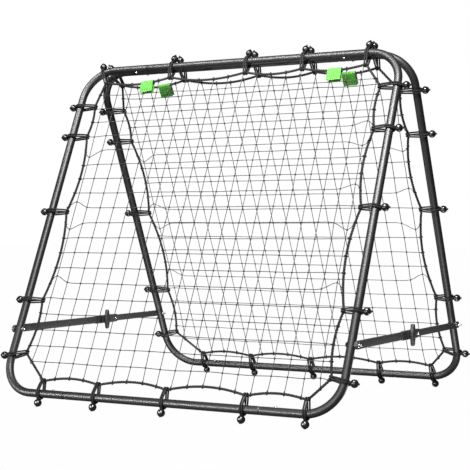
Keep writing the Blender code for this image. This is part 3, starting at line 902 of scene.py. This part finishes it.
for number, x in enumerate(HINGE_AT, 1):
    axis_point = Vector((x, 0, TOP_Z))
    for label, side in SIDES:
        bar = axis_point + side * TOP_GAP / 2 * Y
        bm = bmesh.new()
        saddle = list(arc(bar, -side * Y, Z, TUBE_R + 0.0003 + SADDLE_T / 2, -52, 52, 18))
        halves = [HINGE_W / 2 - 0.006 * max(0, abs(k - 9) / 9 - 0.78) / 0.22 for k in range(19)]
        bent_strip(bm, saddle, X, halves, SADDLE_T)
        spans = (-HINGE_W / 2, HINGE_W / 2 - KNUCKLE) if side < 0 else (-HINGE_W / 2 + KNUCKLE + 0.0005,)
        width = KNUCKLE if side < 0 else HINGE_W - 2 * KNUCKLE - 0.001
        for start in spans:
            begin = axis_point + start * X
            turned(
                bm, begin, X, Y,
                [(0, PIN_R + 0.0003), (0, BARREL_R - 0.0006), (0.0006, BARREL_R), (width - 0.0006, BARREL_R),
                 (width, BARREL_R - 0.0006), (width, PIN_R + 0.0003)], 28, closed_ends=False,
            )
            middle = begin + width / 2 * X
            reach_y = [middle + side * y * Y for y in (0.0035, 0.008, TOP_GAP / 2 - TUBE_R - 0.0012)]
            bent_strip(bm, reach_y, X, [width / 2 - 0.0002] * 3, 0.0058)
        for across in (-0.016, 0.016):
            for lift in (-36, 36):
                way = math.cos(math.radians(lift)) * -side * Y + math.sin(math.radians(lift)) * Z
                turned(
                    bm, bar + across * X + (TUBE_R + 0.0026) * way, way, X,
                    [(0, 0.0026), (0.0007, 0.0024), (0.0011, 0.0016), (0.0012, 0.0004)], 14,
                )
        leaf = make_piece(
            f"{label}_top_hinge_{number}", bm, powder_coat, f"{label}_frame",
            [f"{label}_hinge_leaf_{number}"], crease=30,
        )
        soften(leaf, 0.0004)
    bm = bmesh.new()
    half = HINGE_W / 2
    turned(
        bm, axis_point, X, Y,
        [(-half - 0.0022, 0.0028), (-half - 0.0018, 0.0044), (-half - 0.0003, 0.0046),
         (-half - 0.0003, PIN_R),
         (half + 0.0003, PIN_R), (half + 0.0003, 0.0044), (half + 0.0014, 0.0042),
         (half + 0.0021, 0.0022)], 20,
    )
    make_piece(f"hinge_pin_{number}", bm, zinc_plate, "front_frame", ())


# ---------------------------------------------------------------------------
# Strut tubes: flat-sided steel tube outside the legs, 26 x 10 mm on the front leg and
# 23 x 7 mm sliding inside it from the back leg. Ends closed round the pivot bolts; painted.

STRUT_T = 1.018
OUTER_H, OUTER_B, OUTER_WALL = 0.026, 0.010, 0.0012
INNER_H, INNER_B, INNER_WALL = 0.023, 0.007, 0.0012
INNER_FRONT = -0.150
CLAMP_H, CLAMP_B = 0.030, 0.014
KNOB_Y = {"left": 0.080, "right": -0.036}
CLAMP_BEFORE, CLAMP_BEHIND, SCREW_BEHIND = 0.052, 0.084, 0.073
PIVOT_Y = TOP_GAP / 2 + STRUT_T * math.sin(SPLAY)
PIVOT_Z = TOP_Z - STRUT_T * math.cos(SPLAY)
STRUT_X = FRAME_W / 2 + TUBE_R + 0.0003 + OUTER_B / 2

# Wet sprayed satin enamel on steel: dark grey, with faint streaks along the tube from
# drawing the steel, 2 mm apart, that catch the light a little unevenly.
strut_enamel = new_material("satin_grey_enamelled_steel")
where = add_node(strut_enamel, "ShaderNodeTexCoord")
drawn = add_node(
    strut_enamel, "ShaderNodeMapping", {"Scale": (500.0, 6.0, 500.0)}, Vector=where.outputs["Object"]
)
streaks = add_node(strut_enamel, "ShaderNodeTexNoise", {"Scale": 1.0, "Detail": 3.0}, Vector=drawn.outputs[0])
shade = add_node(
    strut_enamel, "ShaderNodeMix", {"data_type": "RGBA", 6: from_hex("#282829"), 7: from_hex("#333333")},
    {0: streaks.outputs["Fac"]},
)
satin = add_node(
    strut_enamel, "ShaderNodeMapRange", {"To Min": 0.40, "To Max": 0.52}, Value=streaks.outputs["Fac"]
)
raised = add_node(
    strut_enamel, "ShaderNodeBump", {"Strength": 0.08, "Distance": 0.0002},
    Height=streaks.outputs["Fac"],
)
shader = add_node(
    strut_enamel, "ShaderNodeBsdfPrincipled", {"IOR": 1.5},
    Base_Color=shade.outputs[2], Roughness=satin.outputs[0], Normal=raised.outputs[0],
)
add_node(strut_enamel, "ShaderNodeOutputMaterial", Surface=shader.outputs[0])


def flat_ring(bm, x, y, z, half_b, half_h, corner):
    """A rounded rectangle across the strut, seven points to a corner."""
    points = []
    for sx, sz, start in ((1, 1, 0), (-1, 1, 90), (-1, -1, 180), (1, -1, 270)):
        for k in range(7):
            turn = math.radians(start + 15 * k)
            points.append(
                bm.verts.new((
                    x + sx * (half_b - corner) + corner * math.cos(turn), y,
                    z + sz * (half_h - corner) + corner * math.sin(turn),
                ))
            )
    return points


def strut_tube(x, pivot_y, end_y, height, breadth, wall, corner):
    """Round-ended at its pivot, open at end_y."""
    bm = bmesh.new()
    way = 1 if pivot_y > end_y else -1
    skin = []
    for k in range(13):
        turn = math.radians(89 * (1 - k / 12))
        half = max(height / 2 * math.cos(turn), 0.0012)
        skin.append((pivot_y + way * height / 2 * math.sin(turn), half))
    skin += [
        (pivot_y - way * 0.02, height / 2), (end_y + way * 0.0004, height / 2),
        (end_y, height / 2 - 0.0003),
    ]
    rings = [
        flat_ring(
            bm, x, y, PIVOT_Z, breadth / 2 - (0.0003 if k == len(skin) - 1 else 0), half,
            min(corner, half * 0.9, breadth * 0.49),
        )
        for k, (y, half) in enumerate(skin)
    ]
    for k, (first, second) in enumerate(zip(rings, rings[1:])):
        join_rings(bm, first, second, skin[k][0], skin[k + 1][0], height * 2)
    bm.faces.new(rings[0])
    bore = [
        flat_ring(bm, x, y, PIVOT_Z, breadth / 2 - wall, height / 2 - wall, max(corner - wall, 0.0004))
        for y in (end_y, pivot_y - way * (height / 2 + 0.004))
    ]
    join_rings(bm, rings[-1], bore[0])
    join_rings(bm, bore[0], bore[1])
    bm.faces.new(bore[1])
    return bm


for word, hand in HANDS:
    x = hand * STRUT_X
    outer_end = KNOB_Y[word] + CLAMP_BEHIND - 0.010
    make_piece(
        f"{word}_strut_outer_tube", strut_tube(x, -PIVOT_Y, outer_end, OUTER_H, OUTER_B, OUTER_WALL, 0.0022),
        strut_enamel, f"{word}_strut_tube", [f"{word}_strut_outer"], crease=40,
    )
    make_piece(
        f"{word}_strut_inner_tube", strut_tube(x, PIVOT_Y, INNER_FRONT, INNER_H, INNER_B, INNER_WALL, 0.0016),
        strut_enamel, f"{word}_strut_bar", [f"{word}_strut_inner"], crease=40,
    )


# ---------------------------------------------------------------------------
# Clamps: a moulded nylon sleeve on the end of each outer strut tube, grooved ahead of the
# knob, with a lip that guides the inner tube, held by a zinc screw behind the knob. Its tail,
# from just behind the knob, is sprayed the grey of the struts.

TAIL_BEHIND = 0.013

# Glass-filled nylon, moulded with a fine spark texture about 0.6 mm across: matt black.
spark_nylon = new_material("black_moulded_nylon")
where = add_node(spark_nylon, "ShaderNodeTexCoord")
spark = add_node(
    spark_nylon, "ShaderNodeTexNoise", {"Scale": 1600.0, "Detail": 3.0}, Vector=where.outputs["Object"]
)
shade = add_node(
    spark_nylon, "ShaderNodeMix", {"data_type": "RGBA", 6: from_hex("#060606"), 7: from_hex("#0e0e0f")},
    {0: spark.outputs["Fac"]},
)
raised = add_node(
    spark_nylon, "ShaderNodeBump", {"Strength": 0.25, "Distance": 0.0002}, Height=spark.outputs["Fac"]
)
shader = add_node(
    spark_nylon, "ShaderNodeBsdfPrincipled", {"Roughness": 0.48, "IOR": 1.53},
    Base_Color=shade.outputs[2], Normal=raised.outputs[0],
)
add_node(spark_nylon, "ShaderNodeOutputMaterial", Surface=shader.outputs[0])

for word, hand in HANDS:
    x, knob_y = hand * STRUT_X, KNOB_Y[word]
    first, last = knob_y - CLAMP_BEFORE, knob_y + CLAMP_BEHIND
    levels = [(first, 0.0008), (first + 0.0008, 0.0)]
    for groove in (first + 0.010, first + 0.028):
        levels += [
            (groove, 0.0), (groove + 0.0004, 0.0011), (groove + 0.0046, 0.0011), (groove + 0.0050, 0.0)
        ]
    levels += [(last - 0.013, 0.0), (last - 0.0126, 0.0006), (last - 0.0006, 0.0006), (last, 0.0012)]
    bm = bmesh.new()
    rings = [flat_ring(bm, x, y, PIVOT_Z, CLAMP_B / 2 - cut, CLAMP_H / 2 - cut, 0.0030) for y, cut in levels]
    bore_wall = (CLAMP_H - OUTER_H) / 2 - 0.0003
    lip_b, lip_h = INNER_B / 2 + 0.0007, INNER_H / 2 + 0.0007
    bores = [
        flat_ring(bm, x, y, PIVOT_Z, half_b, half_h, 0.0012)
        for y, half_b, half_h in (
            (last, lip_b, lip_h), (last - 0.009, lip_b, lip_h),
            (last - 0.009, CLAMP_B / 2 - bore_wall, CLAMP_H / 2 - bore_wall),
            (first, CLAMP_B / 2 - bore_wall, CLAMP_H / 2 - bore_wall),
        )
    ]
    for one, two in zip(rings + bores, rings[1:] + bores):
        join_rings(bm, one, two)
    join_rings(bm, bores[-1], rings[0])
    face = x + CLAMP_B / 2
    turned(
        bm, Vector((face - 0.0006, knob_y, PIVOT_Z)), X, Y,
        [(0, 0.0118), (0.0008, 0.0116), (0.0012, 0.0110), (0.0012, 0.0042)], 32, closed_ends=False,
    )
    for side_face in bm.faces:
        side_face.material_index = int(side_face.calc_center_median().y > knob_y + TAIL_BEHIND)
    make_piece(
        f"{word}_clamp_sleeve", bm, [spark_nylon, strut_enamel], f"{word}_strut_tube",
        [f"{word}_clamp"], crease=40,
    )
    bm = bmesh.new()
    pan_head_screw(bm, Vector((face + 0.0009, knob_y + SCREW_BEHIND, PIVOT_Z)), X, Y, 0.0046, 0.0026, 0.0040)
    turned(
        bm, Vector((face + 0.0001, knob_y + SCREW_BEHIND, PIVOT_Z)), X, Y,
        [(0, 0.0030), (0, 0.0066), (0.0006, 0.0066), (0.0008, 0.0063), (0.0008, 0.0030)],
        32, closed_ends=False,
    )
    make_piece(
        f"{word}_clamp_screw", bm, zinc_plate, f"{word}_strut_tube", [f"{word}_guide_screw"],
    )


# ---------------------------------------------------------------------------
# Wing knobs: moulded polypropylene wings and hub on a steel stud that presses on the inner
# strut tube. Two upright wings, thick at the hub and rounded at the tips.

# Polypropylene, moulded and slightly glossy: charcoal, with soft flow marks near the hub.
knob_plastic = new_material("charcoal_moulded_polypropylene")
where = add_node(knob_plastic, "ShaderNodeTexCoord")
flow = add_node(
    knob_plastic, "ShaderNodeTexNoise", {"Scale": 90.0, "Detail": 4.0, "Distortion": 0.6},
    Vector=where.outputs["Object"],
)
shade = add_node(
    knob_plastic, "ShaderNodeMix", {"data_type": "RGBA", 6: from_hex("#1c1c1d"), 7: from_hex("#272728")},
    {0: flow.outputs["Fac"]},
)
gloss = add_node(
    knob_plastic, "ShaderNodeMapRange", {"To Min": 0.42, "To Max": 0.52}, Value=flow.outputs["Fac"]
)
shader = add_node(
    knob_plastic, "ShaderNodeBsdfPrincipled", {"IOR": 1.49},
    Base_Color=shade.outputs[2], Roughness=gloss.outputs[0],
)
add_node(knob_plastic, "ShaderNodeOutputMaterial", Surface=shader.outputs[0])

WING_OUT = 0.0092
# One wing's outline from its tip down: height over the hub's centre, half width, half thickness.
WING = (
    (0.0360, 0.0030, 0.0034), (0.0356, 0.0042, 0.0050), (0.0340, 0.0054, 0.0064), (0.0300, 0.0066, 0.0072),
    (0.0240, 0.0080, 0.0076), (0.0180, 0.0096, 0.0078), (0.0120, 0.0116, 0.0078), (0.0060, 0.0134, 0.0078),
    (0.0, 0.0140, 0.0078),
)
for word, hand in HANDS:
    face = Vector((hand * STRUT_X + CLAMP_B / 2, KNOB_Y[word], PIVOT_Z))
    bm = bmesh.new()
    rings = []
    for up, wide, thick in WING + tuple((-u, w, t) for u, w, t in reversed(WING[:-1])):
        ring = []
        for k in range(24):
            turn = 2 * math.pi * k / 24
            c, s = math.cos(turn), math.sin(turn)
            dish = 1 - 0.10 * math.exp(-((abs(up) - 0.020) / 0.008) ** 2) * c * c
            ring.append(bm.verts.new(
                face + (WING_OUT + thick * dish * math.copysign(abs(c) ** 0.7, c)) * X
                + wide * math.copysign(abs(s) ** 0.7, s) * Y + up * Z
            ))
        rings.append(ring)
    for first, second in zip(rings, rings[1:]):
        join_rings(bm, first, second)
    bm.faces.new(rings[0])
    bm.faces.new(rings[-1])
    turned(
        bm, face, X, Y,
        [(0.0005, 0.0031), (0.0005, 0.0086), (0.0010, 0.0092), (0.0125, 0.0088), (0.0145, 0.0078),
         (0.0155, 0.0060),
         (0.0150, 0.0046), (0.0146, 0.0010)], 32,
    )
    make_piece(
        f"{word}_strut_knob", bm, knob_plastic, f"{word}_knob", [f"{word}_wing_knob"],
        crease=60,
    )
    bm = bmesh.new()
    turned(bm, face, X, Y, [(-0.0030, 0.0022), (-0.0024, 0.0029), (0.0011, 0.0029)], 20)
    make_piece(f"{word}_knob_stud", bm, zinc_plate, f"{word}_knob", ())


# ---------------------------------------------------------------------------
# Pivot bolts: M6 zinc plated bolts through each leg and strut end. A black moulded cap
# covers the head on the low X side, a flanged nut and its thread stand on the high side.

BOLT_R = 0.003
for word, hand in HANDS:
    leg, x = hand * FRAME_W / 2, hand * STRUT_X
    for end, side, breadth in (("front", -1, OUTER_B), ("rear", 1, INNER_B)):
        low, high = sorted((leg - hand * (TUBE_R + 0.0003), x + hand * (breadth / 2 + 0.0003)))
        at = Vector((0, side * PIVOT_Y, PIVOT_Z))
        body = "front_frame" if side < 0 else "back_frame"
        bm = bmesh.new()
        thread = [(high + 0.0052, BOLT_R)]
        for k in range(5):
            thread += [(high + 0.0056 + 0.001 * k, 0.0026), (high + 0.0061 + 0.001 * k, BOLT_R)]
        turned(
            bm, at, X, Y,
            [(low + 0.0002, 0.0026), (low + 0.0004, BOLT_R)] + thread + [(high + 0.0108, 0.0022)], 20,
        )
        turned(
            bm, at, X, Y,
            [(high, BOLT_R), (high, 0.0064), (high + 0.0008, 0.0066), (high + 0.0013, 0.0058),
            (high + 0.0013, BOLT_R)],
            32, closed_ends=False,
        )
        turned(
            bm, at, X, Y,
            [(high + 0.0012, BOLT_R), (high + 0.0012, 0.0056), (high + 0.0044, 0.0056),
             (high + 0.0050, 0.0047), (high + 0.0050, BOLT_R)],
            6, closed_ends=False,
        )
        if side > 0:
            near, far = sorted((leg + hand * (TUBE_R + 0.0003), x - hand * (breadth / 2 + 0.0003)))
            turned(
                bm, at, X, Y, [(near, BOLT_R), (near, 0.006), (far, 0.006), (far, BOLT_R)], 28,
                closed_ends=False,
            )
        make_piece(
            f"{word}_{end}_bolt_and_nut", bm, zinc_plate, body, [f"{word}_{end}_pivot_bolt"],
            crease=25,
        )
        bm = bmesh.new()
        turned(
            bm, at, X, Y,
            [(low - 0.0046, 0.0006), (low - 0.0045, 0.0022), (low - 0.0041, 0.0044), (low - 0.0030, 0.0066),
             (low - 0.0016, 0.0080),
             (low - 0.0004, 0.0085), (low, 0.0084), (low, 0.0036)], 32,
        )
        make_piece(f"{word}_{end}_bolt_cap", bm, spark_nylon, body, ())
